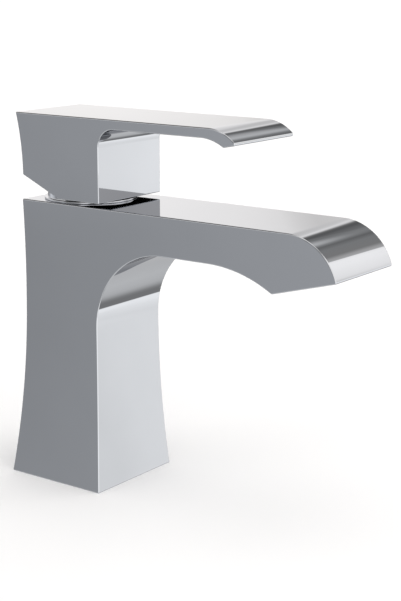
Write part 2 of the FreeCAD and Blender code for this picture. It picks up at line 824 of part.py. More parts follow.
def disc_carrier():
    """The slide that the stem's finger pushes; flats on its sides run between the rotor's rails."""
    body = new_body("disc_carrier")
    plan = new_sketch(body, "XY", level=CARRIER_BOTTOM)
    half = "carrier_width / 2"
    end = f"sqrt(moving_disc_radius^2 - ({half})^2)"
    outline(
        plan,
        [
            (half, f"-{end}"),
            (half, end, "left", "moving_disc_radius"),
            (f"-({half})", end),
            (f"-({half})", f"-{end}", "left", "moving_disc_radius"),
        ],
    )
    extrude(body, "Pad", plan, f"{CARRIER_TOP} - {CARRIER_BOTTOM}")
    pegs = new_sketch(body, "XY", level=CARRIER_BOTTOM)
    for sign in ("", "-"):
        ring(pegs, "carrier_peg_radius", "0", f"{sign}carrier_peg_spread")
    extrude(body, "Pad", pegs, "carrier_peg_height", upwards=False)
    socket = new_sketch(body, "XY", level=CARRIER_TOP)
    reach = "(finger_radius + finger_play)"
    rectangle(socket, f"-{reach}", reach, f"-{reach}", reach)
    extrude(body, "Pocket", socket, f"{CARRIER_TOP} - {CARRIER_BOTTOM} - carrier_floor", upwards=False)
    return at_pivot(body, back=SLIDE_OFFSET)


ROTOR_SEAL_CENTRE = "(rotor_radius - rotor_seal_radius)"


def rotor_o_ring():
    return torus("rotor_o_ring", ROTOR_SEAL_CENTRE, "rotor_seal_radius", "-rotor_seal_depth")


def rotor():
    """The piece that swivels in the housing: a slot for the stem, rails for the carrier, a stop lug."""
    flange_top = "-rotor_drop + rotor_flange"
    groove_floor = f"({ROTOR_SEAL_CENTRE} - rotor_seal_radius)"
    groove_low = "-(rotor_seal_depth + rotor_seal_radius)"
    groove_high = "-(rotor_seal_depth - rotor_seal_radius)"
    body = lathe(
        "rotor",
        [
            ("0", "-rotor_drop"),
            (f"{CAVITY_RADIUS} - running_gap", "-rotor_drop"),
            (f"{CAVITY_RADIUS} - running_gap", flange_top),
            ("rotor_radius", flange_top),
            ("rotor_radius", groove_low),
            (groove_floor, groove_low),
            (groove_floor, groove_high),
            ("rotor_radius", groove_high),
            ("rotor_radius", "rotor_top"),
            ("0", "rotor_top"),
        ],
    )
    rails = new_sketch(body, "XY", level="-rotor_drop")
    inner = "(carrier_width / 2 + running_gap)"
    outer = f"({inner} + rail_width)"
    half = "rail_length / 2"
    rectangle(rails, inner, outer, f"-{half}", half)
    rectangle(rails, f"-{outer}", f"-{inner}", f"-{half}", half)
    extrude(body, "Pad", rails, "rail_depth", upwards=False)
    lug = new_sketch(body, "XY", level=f"{NECK_TOP} + stop_floor + running_gap")
    rectangle(lug, "-lug_width / 2", "lug_width / 2", "rotor_radius / 2", "rotor_radius + lug_reach")
    extrude(body, "Pad", lug, "lug_height")
    slot = new_sketch(body, "XY")
    reach = "(stem_side / 2 + stem_play)"
    rectangle(slot, f"-{reach}", reach, "-rotor_slot_length / 2", "rotor_slot_length / 2")
    extrude(body, "Pocket", slot, both_ways=True)
    cross_hole = new_sketch(body, "YZ")
    ring(cross_hole, "pin_radius + pin_fit")
    extrude(body, "Pocket", cross_hole, both_ways=True)
    return at_pivot(body)


def pivot_pin():
    body = new_body("pivot_pin")
    section = new_sketch(body, "YZ")
    ring(section, "pin_radius")
    extrude(body, "Pad", section, "pin_length", both_ways=True)
    return at_pivot(body)


def stop_ring():
    """The ring round the rotor whose raised wall stops the lug at full hot and full cold."""
    body = new_body("stop_ring")
    inner = "(rotor_radius + running_gap)"
    plan = new_sketch(body, "XY", level=NECK_TOP)
    ring(plan, inner)
    ring(plan, f"{inner} + stop_wall")
    extrude(body, "Pad", plan, "stop_height")
    gap = new_sketch(body, "XY", level=f"{NECK_TOP} + stop_height")
    reach = f"({inner} + stop_wall + {OVERRUN})"
    side = f"{reach} * tan(stop_half_angle)"
    outline(gap, [("0", "0"), (side, reach), (f"-{side}", reach)])
    extrude(body, "Pocket", gap, "stop_height - stop_floor", upwards=False)
    return at_pivot(body)


def stem():
    """The lever inside: a square shank for the handle, a hole for the pin, and a ball finger below it."""
    body = new_body("stem")
    shank = new_sketch(body, "XY", level="-stem_foot")
    half = "stem_side / 2"
    rectangle(shank, f"-{half}", half, f"-{half}", half)
    extrude(body, "Pad", shank, "stem_foot + stem_length")
    arm = new_sketch(body, "YZ")
    outline(
        arm,
        [
            ("0", "-(arm_length + finger_radius)", "left", "finger_radius"),
            ("arm_radius", "-(arm_length - sqrt(finger_radius^2 - arm_radius^2))"),
            ("arm_radius", "-stem_foot / 2"),
            ("0", "-stem_foot / 2"),
        ],
    )
    turn_solid(body, "Revolution", arm)
    cross_hole = new_sketch(body, "YZ")
    ring(cross_hole, "pin_radius + stem_pin_fit")
    extrude(body, "Pocket", cross_hole, both_ways=True)
    return at_pivot(body, turn="stem_lean")


def handle():
    """The lever handle: a block over the dome and a thin plate that reaches forwards to a rounded nose."""
    body = new_body("handle")
    lip_radius = flare_radius("lip_reach - lip_start", "lip_drop")
    side = new_sketch(body, "YZ")
    outline(
        side,
        [
            ("-handle_front", HANDLE_BOTTOM),
            ("-chamfer_start", HANDLE_BOTTOM),
            ("handle_rear", CHAMFER_TOP, "right", REAR_RADIUS),
            ("handle_rear + handle_overhang", HANDLE_TOP),
            ("lever_nose_run - lever_reach", HANDLE_TOP, "left", "lever_nose_radius"),
            ("-lever_reach", LEVER_NOSE_END),
            ("-lever_reach", f"{LEVER_NOSE_END} - lever_edge"),
            ("-lip_reach", f"{PLATE_UNDERSIDE} - lip_drop", "right", lip_radius),
            ("-lip_start", PLATE_UNDERSIDE),
            ("-(handle_front + lever_fillet)", PLATE_UNDERSIDE, "right", "lever_fillet"),
            ("-handle_front", f"{PLATE_UNDERSIDE} - lever_fillet"),
        ],
    )
    extrude(body, "Pad", side, "handle_width", both_ways=True)
    hollow = new_sketch(body, "YZ", across="-axis_offset", up=PIVOT)
    room = "(dome_radius + dome_gap)"
    outline(hollow, [("0", "0"), (room, "0", "left", room), ("0", room)])
    turn_solid(body, "Groove", hollow)
    socket = new_sketch(body, "YZ", across="-axis_offset", up=PIVOT, turn="stem_lean")
    half = "(stem_side / 2 + socket_play)"
    rectangle(socket, f"-{half}", half, "0", "stem_length + running_gap")
    extrude(body, "Pocket", socket, f"2 * {half}", both_ways=True)
    for radius, start in (
        ("screw_radius + screw_fit", "0"),
        ("plug_radius + plug_fit", f"{PLUG_MOUTH} - plug_length"),
    ):
        hole = new_sketch(body, "XZ", up=SCREW_LEVEL, level=f"axis_offset - ({start})")
        ring(hole, radius)
        extrude(body, "Pocket", hole, f"{PLUG_MOUTH} - ({start}) + plug_radius", upwards=False)
    return body


def grub_screw():
    """The set screw that grips the stem from behind, with a hexagon socket."""
    body = new_body("grub_screw")
    section = new_sketch(body, "XZ")
    ring(section, "screw_radius")
    extrude(body, "Pad", section, "screw_length", upwards=False)
    key = new_sketch(body, "XZ", level="-screw_length")
    hexagon(key, "screw_key")
    extrude(body, "Pocket", key, "screw_key_depth", upwards=True)
    tip = (
        "(stem_side / 2 / cos(stem_lean) - (screw_height - screw_radius) * tan(stem_lean)"
        " + socket_play - axis_offset)"
    )
    return put(body, back=tip, up=SCREW_LEVEL)


def index_plug():
    """The small round plug that closes the screw hole at the back of the handle."""
    body = new_body("index_plug")
    section = new_sketch(body, "XZ", level=f"axis_offset - ({PLUG_MOUTH} - plug_length)")
    ring(section, "plug_radius")
    extrude(body, "Pad", section, "plug_length + plug_head", upwards=False)
    return put(body, up=SCREW_LEVEL)


def aerator_housing():
    return at_outlet(
        lathe(
            "aerator_housing",
            [
                (f"{AERATOR_BORE} - aerator_lip", "aerator_recess"),
                ("aerator_radius", "aerator_recess"),
                ("aerator_radius", WASHER_LEVEL),
                (AERATOR_BORE, WASHER_LEVEL),
                (AERATOR_BORE, GRID_LEVEL),
                (f"{AERATOR_BORE} - aerator_lip", GRID_LEVEL),
            ],
        )
    )


def perforated_disc(label, level, thickness, holes):
    """A disc inside the aerator's housing, with holes given as (radius, across, back)."""
    body = new_body(label)
    plan = new_sketch(body, "XY", level=level)
    ring(plan, f"{AERATOR_BORE} - aerator_fit")
    for radius, across, back in holes:
        ring(plan, radius, across, back)
    extrude(body, "Pad", plan, thickness)
    return at_outlet(body)


def honeycomb(radius, pitch, rings):
    """Holes on a triangular grid: one in the middle and whole hexagons round it."""
    holes = []
    for column in range(-rings, rings + 1):
        for line in range(max(-rings, -rings - column), min(rings, rings - column) + 1):
            steps = column + line / 2
            across = f"{steps} * {pitch}" if steps else "0"
            back = f"{line} * {pitch} * sqrt(3) / 2" if line else "0"
            holes.append((radius, across, back))
    return holes


def hole_circle(radius, circle_radius, count):
    turns = [360 * (index + 0.5) / count for index in range(count)]
    return [(radius, f"{circle_radius} * cos({turn})", f"{circle_radius} * sin({turn})") for turn in turns]


def aerator_grid():
    return perforated_disc(
        "aerator_grid", GRID_LEVEL, "grid_thickness", honeycomb("grid_hole_radius", "grid_pitch", 2)
    )


def aerator_diffuser():
    return perforated_disc(
        "aerator_diffuser",
        DIFFUSER_LEVEL,
        "diffuser_thickness",
        hole_circle("diffuser_hole_radius", "diffuser_ring_radius", DIFFUSER_HOLES),
    )


def aerator_screen():
    return perforated_disc(
        "aerator_screen", SCREEN_LEVEL, "screen_thickness", honeycomb("screen_hole_radius", "screen_pitch", 3)
    )


def aerator_washer():
    return at_outlet(
        lathe(
            "aerator_washer",
            [
                ("aerator_radius - washer_width", WASHER_LEVEL),
                ("aerator_radius", WASHER_LEVEL),
                ("aerator_radius", AERATOR_DEPTH),
                ("aerator_radius - washer_width", AERATOR_DEPTH),
            ],
        )
    )


pieces = [
    spout_body(),
    foot_gasket(),
    dome_cover(),
    dome_o_ring(),
    retaining_nut(),
    cartridge_housing(),
    housing_o_ring(),
    cartridge_base(),
    port_seals(),
    disc_seals(),
    fixed_disc(),
    stop_ring(),
    aerator_housing(),
    aerator_grid(),
    aerator_diffuser(),
    aerator_screen(),
    aerator_washer(),
    rotor(),
    rotor_o_ring(),
    pivot_pin(),
    stem(),
    handle(),
    grub_screw(),
    index_plug(),
    disc_carrier(),
    moving_disc(),
]
document.recompute()

for item in document.Objects:
    if "Invalid" in item.State or "Error" in item.State:
        raise RuntimeError(f"{item.Label} failed to build: {item.State}")
for piece in pieces:
    if piece.Shape.isNull() or not piece.Shape.isValid():
        raise RuntimeError(f"{piece.Label} has no sound shape")

os.makedirs("parts", exist_ok=True)
for piece in pieces:
    piece.Shape.exportStep(f"parts/{piece.Label}.step")
    print(f"{piece.Label}: {len(piece.Shape.Solids)} solid, {piece.Shape.Volume / 1000:.2f} cubic cm")
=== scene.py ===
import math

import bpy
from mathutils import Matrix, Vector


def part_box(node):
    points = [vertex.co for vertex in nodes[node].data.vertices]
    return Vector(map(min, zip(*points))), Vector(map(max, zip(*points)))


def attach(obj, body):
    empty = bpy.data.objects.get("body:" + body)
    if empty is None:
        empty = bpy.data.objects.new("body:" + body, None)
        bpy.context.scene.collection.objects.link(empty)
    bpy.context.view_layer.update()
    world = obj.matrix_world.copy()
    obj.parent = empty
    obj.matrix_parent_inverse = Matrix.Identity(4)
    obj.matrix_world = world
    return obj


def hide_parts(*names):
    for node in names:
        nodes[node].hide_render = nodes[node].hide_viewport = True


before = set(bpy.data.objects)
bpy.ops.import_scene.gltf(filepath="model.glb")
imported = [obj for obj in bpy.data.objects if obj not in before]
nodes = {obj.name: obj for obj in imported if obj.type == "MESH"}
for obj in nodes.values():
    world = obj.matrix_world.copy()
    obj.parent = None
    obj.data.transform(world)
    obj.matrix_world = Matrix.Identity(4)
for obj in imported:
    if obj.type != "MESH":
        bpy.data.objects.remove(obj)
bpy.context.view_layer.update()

# Single-lever basin faucet. The chromed castings, the index plug and the aerator's shell are modelled
# here; the pieces inside keep their CAD shape and get their finish here.

scene = bpy.context.scene

MM = 0.001
STEP = math.radians(2.5)            # turn of one step of a drawn arc
ROUND_STEPS = 96                    # steps of a full turn
CORNER_STEPS = 8                    # steps of a cutter's rounded corner
ROUNDED_FROM = math.radians(25)     # edges that turn more than this are rounded
SHARP_FROM = math.radians(40)       # edges that turn more than this are shaded sharp
CAST_EDGE = 0.45 * MM               # rounding of the castings' edges
CLEAR = 1 * MM                      # how far a cutter stands out of what it cuts
NEAR = 0.01 * MM                    # a point this near to a surface counts as on it
SAME_POINT = 0.001 * MM             # points closer than this are merged

_, body_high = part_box("spout_body")
handle_low, handle_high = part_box("handle")
dome_low, dome_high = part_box("dome_cover")
plug_low, plug_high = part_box("index_plug")

# Column and spout
BODY_TOP = body_high.z
FOOT_HALF_WIDTH = body_high.x
FOOT_HALF_DEPTH = body_high.y
COLUMN_HALF_WIDTH = 21.1 * MM
COLUMN_REAR = 17.6 * MM
COLUMN_FRONT = 22.4 * MM
WAIST_HEIGHT = 93.5 * MM
FLARE_ROWS = 24
SPOUT_THICKNESS = 16.46 * MM
ARCH_RADIUS = 34.9 * MM
NOSE_REACH = 138.88 * MM
NOSE_RUN = 22.2 * MM
NOSE_RADIUS = 23.4 * MM
NOSE_EDGE = 0.9 * MM
HEEL_REACH = 110.3 * MM
HEEL_DROP = 8.14 * MM
UNDERSIDE_END = 80.0 * MM
NOSE_END = BODY_TOP - NOSE_RADIUS + math.sqrt(NOSE_RADIUS ** 2 - NOSE_RUN ** 2)
SPOUT_UNDERSIDE = BODY_TOP - SPOUT_THICKNESS
ARCH_START = SPOUT_UNDERSIDE - ARCH_RADIUS

# Hollows of the body
COLUMN_WALL = 3.6 * MM
HOLLOW_HEIGHT = 80.0 * MM
HOLLOW_CORNER = 4.0 * MM
THREAD_TOP = 92.0 * MM
INLET_SPREAD = 7.0 * MM
INLET_FORWARD = 5.75 * MM
INLET_RADIUS = 4.5 * MM
STUD_BACK = 8.0 * MM
STUD_RADIUS = 3.4 * MM
PORT_SPREAD = 5.6 * MM
PORT_RADIUS = 2.6 * MM
AXIS_Y = -2.35 * MM
CHAMBER_FLOOR = 98.35 * MM
CHAMBER_RADIUS = 12.7 * MM
NUT_LEDGE = 114.7 * MM
NUT_RADIUS = 14.0 * MM
GROOVE_MARGIN = 2.5 * MM
GROOVE_WIDTH = 3.2 * MM
GROOVE_DEPTH = 1.5 * MM
GROOVE_CORNER = 3.1 * MM

# Outlet
OUTLET_RADIUS = 10.75 * MM
OUTLET_DEPTH = 8.4 * MM
WELL_RADIUS = 7.0 * MM
WELL_DEPTH = 12.4 * MM
AERATOR_RADIUS = 10.7 * MM
AERATOR_BORE = 9.3 * MM
AERATOR_LIP_BORE = 8.3 * MM
AERATOR_LIP = 1.2 * MM
AERATOR_RECESS = 0.4 * MM
AERATOR_END = 6.8 * MM
AERATOR_EDGE = 0.25 * MM

# Handle
HANDLE_FLOOR = handle_low.z
HANDLE_TOP = handle_high.z
HANDLE_WIDTH = handle_high.x - handle_low.x
HANDLE_FRONT = 24.1 * MM
HANDLE_REAR = 18.2 * MM
HANDLE_OVERHANG = 3.3 * MM
CHAMFER_START = 2.0 * MM
CHAMFER_RISE = 8.8 * MM
LEVER_REACH = -handle_low.y
LEVER_THICKNESS = 4.14 * MM
LEVER_NOSE_RADIUS = 19.0 * MM
LEVER_NOSE_RUN = 12.9 * MM
LEVER_EDGE = 1.1 * MM
LIP_REACH = 87.0 * MM
LIP_DROP = 3.1 * MM
LIP_START = 76.0 * MM
LEVER_FILLET = 8.2 * MM
PIVOT = Vector((0, AXIS_Y, 124.0 * MM))
CAVITY_RADIUS = 19.3 * MM
STEM_SOCKET = 8.12 * MM
STEM_LEAN = math.radians(11)
STEM_TOP = 29.3 * MM
BACKWARDS = math.radians(-90)
SCREW_HEIGHT = 147.0 * MM
SCREW_RADIUS = 3.0 * MM
PLUG_HOLE_RADIUS = 3.95 * MM
PLUG_HOLE_LENGTH = 10.0 * MM
PLUG_PLAY = 0.05 * MM

# Dome and index plug
DOME_RADIUS = 18.6 * MM
DOME_WALL = 1.4 * MM
DOME_OPENING = 10.0 * MM
DOME_FOOT_RADIUS = dome_high.x
DOME_FOOT_HEIGHT = 0.85 * MM
DOME_EDGE = 0.2 * MM
PLUG_RADIUS = (plug_high.x - plug_low.x) / 2
PLUG_EDGE = 0.25 * MM
PLUG_RIM = 1.0 * MM
PLUG_STEP = 0.3 * MM
PLUG_RECESS = 0.2 * MM


class Outline:
    """Draws a closed outline in the middle plane by extruding one vertex, run after run."""

    def __init__(self, name, y, z):
        bpy.ops.object.select_all(action="DESELECT")
        bpy.ops.mesh.primitive_plane_add(size=MM)
        self.piece = bpy.context.object
        self.piece.name = name
        self.piece.data.name = name
        bpy.ops.object.mode_set(mode="EDIT")
        bpy.ops.mesh.select_mode(type="VERT")
        bpy.ops.mesh.select_all(action="SELECT")
        bpy.ops.mesh.merge(type="CENTER")
        bpy.ops.transform.translate(value=(0, y, z))
        self.start = self.y, self.z = y, z

    def line(self, y, z):
        """A straight run to a point."""
        bpy.ops.mesh.extrude_vertices_move(TRANSFORM_OT_translate={"value": (0, y - self.y, z - self.z)})
        self.y, self.z = y, z

    def arc(self, centre_y, centre_z, y, z):
        """The shorter arc about a centre to a point."""
        start = math.atan2(self.z - centre_z, self.y - centre_y)
        end = math.atan2(z - centre_z, y - centre_y)
        turn = (end - start + math.pi) % (2 * math.pi) - math.pi
        # Spin turns clockwise about +X, so the turn changes sign.
        bpy.ops.mesh.spin(steps=math.ceil(abs(turn) / STEP), angle=-turn,
                          center=(0, centre_y, centre_z), axis=(1, 0, 0))
        self.y, self.z = y, z

    def close(self):
        """A straight run back to the start."""
        self.line(*self.start)
        bpy.ops.mesh.select_all(action="SELECT")
        bpy.ops.mesh.remove_doubles(threshold=SAME_POINT)

    def thicken(self, width):
        """Makes the outline a solid of that width, even about the middle plane."""
        self.close()
        bpy.ops.mesh.edge_face_add()
        bpy.ops.transform.translate(value=(-width / 2, 0, 0))
        bpy.ops.mesh.extrude_region_move(TRANSFORM_OT_translate={"value": (width, 0, 0)})
        bpy.ops.mesh.select_all(action="SELECT")
        bpy.ops.mesh.normals_make_consistent(inside=False)
        bpy.ops.object.mode_set(mode="OBJECT")
        return self.piece

    def turn_round(self, axis_y):
        """Makes the outline a round solid about the upright axis at that depth."""
        self.close()
        bpy.ops.mesh.spin(steps=ROUND_STEPS, angle=2 * math.pi, center=(0, axis_y, 0), axis=(0, 0, 1))
        bpy.ops.mesh.select_all(action="SELECT")
        bpy.ops.mesh.remove_doubles(threshold=SAME_POINT)
        bpy.ops.mesh.normals_make_consistent(inside=False)
        bpy.ops.object.mode_set(mode="OBJECT")
        return self.piece


def flare(radius, distance):
    """How far an arc of that radius has left its tangent after that distance."""
    return radius - math.sqrt(radius ** 2 - distance ** 2)


def flare_radius(length, spread):
    """Radius of the arc that leaves its tangent by spread after length."""
    return (length ** 2 + spread ** 2) / (2 * spread)


def pick(piece, kind, test):
    """Goes into edit mode with the vertices, edges or faces selected whose middle passes the test."""
    points = piece.data.vertices
    bpy.ops.object.mode_set(mode="EDIT")
    bpy.ops.mesh.select_mode(type=kind)
    bpy.ops.mesh.select_all(action="DESELECT")
    bpy.ops.object.mode_set(mode="OBJECT")
    if kind == "VERT":
        for point in points:
            point.select = test(point.co)
    if kind == "EDGE":
        for edge in piece.data.edges:
            edge.select = test((points[edge.vertices[0]].co + points[edge.vertices[1]].co) / 2)
    if kind == "FACE":
        for face in piece.data.polygons:
            face.select = test(face.center)
    bpy.ops.object.mode_set(mode="EDIT")


def make_active(piece):
    """Leaves this piece alone selected."""
    bpy.ops.object.select_all(action="DESELECT")
    piece.select_set(True)
    bpy.context.view_layer.objects.active = piece


def apply_modifier(piece, kind, **settings):
    """Adds a modifier with its settings and applies it."""
    make_active(piece)
    modifier = piece.modifiers.new(kind.lower(), kind)
    for setting, value in settings.items():
        setattr(modifier, setting, value)
    bpy.ops.object.modifier_apply(modifier=modifier.name)


def round_edges(piece, width, segments=4):
    """Rounds every edge that turns sharply."""
    apply_modifier(piece, "BEVEL", width=width, segments=segments, limit_method="ANGLE",
                   angle_limit=ROUNDED_FROM, use_clamp_overlap=True)


def smooth(piece):
    """Shades the piece smooth, with its flat faces flat and its sharp edges sharp."""
    make_active(piece)
    bpy.ops.object.shade_smooth_by_angle(angle=SHARP_FROM)
    apply_modifier(piece, "WEIGHTED_NORMAL", mode="FACE_AREA", weight=100, keep_sharp=True)


def cut(piece, cutter):
    """Cuts the cutter out of the piece."""
    apply_modifier(piece, "BOOLEAN", operation="DIFFERENCE", solver="EXACT", object=cutter)
    bpy.data.objects.remove(cutter)


def round_cutter(radius, length, start, lean=0.0):
    """A cylinder that goes up from its start, leant about the X axis."""
    bpy.ops.object.select_all(action="DESELECT")
    upwards = Vector((0, -math.sin(lean), math.cos(lean)))
    bpy.ops.mesh.primitive_cylinder_add(vertices=ROUND_STEPS, radius=radius, depth=length,
                                        location=Vector(start) + upwards * length / 2,
                                        rotation=(lean, 0, 0))
    bpy.ops.object.transform_apply(location=True, rotation=True, scale=True)
    return bpy.context.object


def ball_cutter(radius, middle):
    """A ball about its middle."""
    bpy.ops.object.select_all(action="DESELECT")
    bpy.ops.mesh.primitive_uv_sphere_add(segments=ROUND_STEPS, ring_count=ROUND_STEPS // 2,
                                         radius=radius, location=middle)
    bpy.ops.object.transform_apply(location=True, rotation=True, scale=True)
    return bpy.context.object


def box_cutter(low, high, corner=0.0, lean=0.0):
    """A box between two corners, its upright edges rounded, leant about the middle of its floor."""
    bpy.ops.object.select_all(action="DESELECT")
    low, high = Vector(low), Vector(high)
    middle = (low + high) / 2
    bpy.ops.mesh.primitive_cube_add(size=1, location=middle, scale=high - low)
    bpy.ops.object.transform_apply(location=True, rotation=True, scale=True)
    cutter = bpy.context.object
    if corner:
        pick(cutter, "EDGE", lambda point: abs(point.z - middle.z) < CLEAR / 2)
        bpy.ops.mesh.bevel(offset=corner, segments=CORNER_STEPS)
        bpy.ops.object.mode_set(mode="OBJECT")
    if lean:
        bpy.ops.object.mode_set(mode="EDIT")
        bpy.ops.mesh.select_all(action="SELECT")
        # Without a window this operator turns the other way.
        bpy.ops.transform.rotate(value=-lean, orient_axis="X",
                                 center_override=(middle.x, middle.y, low.z))
        bpy.ops.object.mode_set(mode="OBJECT")
    return cutter


def dress(piece, material, body, node):
    """Gives a finished piece its finish and its body, and hides the CAD node that it stands for."""
    piece.data.materials.clear()
    piece.data.materials.append(material)
    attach(piece, body)
    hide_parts(node)


# Castings

def column_side_outline():
    """The body's side outline: up the rear, along the spout, under it, and down the front."""
    rear_radius = flare_radius(WAIST_HEIGHT, FOOT_HALF_DEPTH - COLUMN_REAR)
    front_radius = flare_radius(ARCH_START, FOOT_HALF_DEPTH - COLUMN_FRONT)
    rows = [ARCH_START * row / FLARE_ROWS for row in range(FLARE_ROWS + 1)]
    upper_rows = FLARE_ROWS // 2
    nose_centre = (-NOSE_REACH + NOSE_RUN, BODY_TOP - NOSE_RADIUS)
    heel_radius = flare_radius(HEEL_REACH - UNDERSIDE_END, HEEL_DROP)
    arch_foot = -(COLUMN_FRONT + ARCH_RADIUS)

    outline = Outline("body_casting", FOOT_HALF_DEPTH, 0)
    rear_levels = rows[1:] + [ARCH_START + (BODY_TOP - ARCH_START) * row / upper_rows
                              for row in range(1, upper_rows + 1)]
    for level in rear_levels:
        outline.line(COLUMN_REAR + flare(rear_radius, level - WAIST_HEIGHT), level)
    outline.line(nose_centre[0], BODY_TOP)
    outline.arc(*nose_centre, -NOSE_REACH, NOSE_END)
    outline.line(-NOSE_REACH, NOSE_END - NOSE_EDGE)
    outline.line(-HEEL_REACH, SPOUT_UNDERSIDE - HEEL_DROP)
    outline.arc(-UNDERSIDE_END, SPOUT_UNDERSIDE - heel_radius, -UNDERSIDE_END, SPOUT_UNDERSIDE)
    outline.line(arch_foot, SPOUT_UNDERSIDE)
    outline.arc(arch_foot, ARCH_START, -COLUMN_FRONT, ARCH_START)
    for level in reversed(rows[:-1]):
        outline.line(-COLUMN_FRONT - flare(front_radius, ARCH_START - level), level)
    return outline, rows


def flare_column_sides(piece, rows):
    """Cuts the column's sides into rows and spreads each row towards the foot."""
    side_radius = flare_radius(ARCH_START, FOOT_HALF_WIDTH - COLUMN_HALF_WIDTH)
    for level in rows[1:]:
        pick(piece, "VERT", lambda point: True)
        bpy.ops.mesh.bisect(plane_co=(0, 0, level), plane_no=(0, 0, 1))
        bpy.ops.object.mode_set(mode="OBJECT")
    for level in rows[:-1]:
        spread = flare(side_radius, ARCH_START - level)
        pick(piece, "VERT", lambda point: abs(point.z - level) < NEAR)
        bpy.ops.transform.resize(value=(1 + spread / COLUMN_HALF_WIDTH, 1, 1), center_override=(0, 0, 0))
        bpy.ops.object.mode_set(mode="OBJECT")


def outlet_axis():
    """Middle of the outlet's face, and how far its axis leans forwards from straight up."""
    tip = NOSE_END - NOSE_EDGE
    heel = SPOUT_UNDERSIDE - HEEL_DROP
    middle = Vector((0, -(NOSE_REACH + HEEL_REACH) / 2, (tip + heel) / 2))
    lean = -math.atan2(tip - heel, NOSE_REACH - HEEL_REACH)
    return middle, lean


def cut_body_hollows(piece):
    """The seal's groove, the column's hollow and its threads, the chamber and the outlet's socket."""
    side, end = FOOT_HALF_WIDTH - GROOVE_MARGIN, FOOT_HALF_DEPTH - GROOVE_MARGIN
    groove_low, groove_high = Vector((-side, -end, -CLEAR)), Vector((side, end, GROOVE_DEPTH))
    inwards = Vector((GROOVE_WIDTH, GROOVE_WIDTH, -CLEAR))
    groove = box_cutter(groove_low, groove_high, corner=GROOVE_CORNER)
    cut(groove, box_cutter(groove_low + inwards, groove_high - inwards))
    cut(piece, groove)

    half = COLUMN_HALF_WIDTH - COLUMN_WALL
    front, rear = -(COLUMN_FRONT - COLUMN_WALL), COLUMN_REAR - COLUMN_WALL
    cut(piece, box_cutter((-half, front, -CLEAR), (half, rear, HOLLOW_HEIGHT), corner=HOLLOW_CORNER))
    thread_start, thread = HOLLOW_HEIGHT - CLEAR, THREAD_TOP - HOLLOW_HEIGHT + CLEAR
    port_start, port = THREAD_TOP - CLEAR, CHAMBER_FLOOR - THREAD_TOP + 2 * CLEAR
    for hand in (-1, 1):
        inlet_place = (hand * INLET_SPREAD, -INLET_FORWARD, thread_start)
        port_place = (hand * PORT_SPREAD, -INLET_FORWARD, port_start)
        cut(piece, round_cutter(INLET_RADIUS, thread, inlet_place))
        cut(piece, round_cutter(PORT_RADIUS, port, port_place))
    cut(piece, round_cutter(STUD_RADIUS, thread, (0, STUD_BACK, thread_start)))

    for radius, floor in ((CHAMBER_RADIUS, CHAMBER_FLOOR), (NUT_RADIUS, NUT_LEDGE)):
        cut(piece, round_cutter(radius, BODY_TOP - floor + CLEAR, (0, AXIS_Y, floor)))
    middle, lean = outlet_axis()
    upwards = Vector((0, -math.sin(lean), math.cos(lean)))
    start = middle - upwards * CLEAR
    cut(piece, round_cutter(OUTLET_RADIUS, OUTLET_DEPTH + CLEAR, start, lean))
    cut(piece, round_cutter(WELL_RADIUS, WELL_DEPTH + CLEAR, start, lean))


def body_casting(chrome):
    """Column and spout in one casting."""
    outline, rows = column_side_outline()
    piece = outline.thicken(2 * COLUMN_HALF_WIDTH)
    flare_column_sides(piece, rows)
    round_edges(piece, CAST_EDGE)
    cut_body_hollows(piece)
    smooth(piece)
    dress(piece, chrome, "faucet_body", "spout_body")


def handle_casting(chrome, underside_shade):
    """The handle's block and its thin lever plate in one casting."""
    chamfer_top = HANDLE_FLOOR + CHAMFER_RISE
    rear_radius = flare_radius(HANDLE_TOP - chamfer_top, HANDLE_OVERHANG)
    nose_centre = (-LEVER_REACH + LEVER_NOSE_RUN, HANDLE_TOP - LEVER_NOSE_RADIUS)
    nose_end = nose_centre[1] + math.sqrt(LEVER_NOSE_RADIUS ** 2 - LEVER_NOSE_RUN ** 2)
    underside = HANDLE_TOP - LEVER_THICKNESS
    lip_radius = flare_radius(LIP_REACH - LIP_START, LIP_DROP)
    fillet_start = -(HANDLE_FRONT + LEVER_FILLET)

    outline = Outline("lever_handle", -HANDLE_FRONT, HANDLE_FLOOR)
    outline.line(-CHAMFER_START, HANDLE_FLOOR)
    outline.line(HANDLE_REAR, chamfer_top)
    outline.arc(HANDLE_REAR + rear_radius, chamfer_top, HANDLE_REAR + HANDLE_OVERHANG, HANDLE_TOP)
    outline.line(nose_centre[0], HANDLE_TOP)
    outline.arc(*nose_centre, -LEVER_REACH, nose_end)
    outline.line(-LEVER_REACH, nose_end - LEVER_EDGE)
    outline.line(-LIP_REACH, underside - LIP_DROP)
    outline.arc(-LIP_START, underside - lip_radius, -LIP_START, underside)
    outline.line(fillet_start, underside)
    outline.arc(fillet_start, underside - LEVER_FILLET, -HANDLE_FRONT, underside - LEVER_FILLET)
    piece = outline.thicken(HANDLE_WIDTH)
    round_edges(piece, CAST_EDGE)

    cut(piece, ball_cutter(CAVITY_RADIUS, PIVOT))
    half = STEM_SOCKET / 2
    socket_low, socket_high = Vector((-half, -half, 0)), Vector((half, half, STEM_TOP))
    cut(piece, box_cutter(PIVOT + socket_low, PIVOT + socket_high, lean=STEM_LEAN))
    screw_axis = Vector((0, AXIS_Y, SCREW_HEIGHT))
    plug_floor = Vector((0, plug_low.y - PLUG_PLAY, SCREW_HEIGHT))
    cut(piece, round_cutter(SCREW_RADIUS, handle_high.y - AXIS_Y, screw_axis, BACKWARDS))
    cut(piece, round_cutter(PLUG_HOLE_RADIUS, PLUG_HOLE_LENGTH, plug_floor, BACKWARDS))
    smooth(piece)
    dress(piece, chrome, "lever", "handle")
    # Painted shade: the underside and the hollow of the handle are made near black and unreflecting.
    paint_underside_shade(piece, underside_shade)


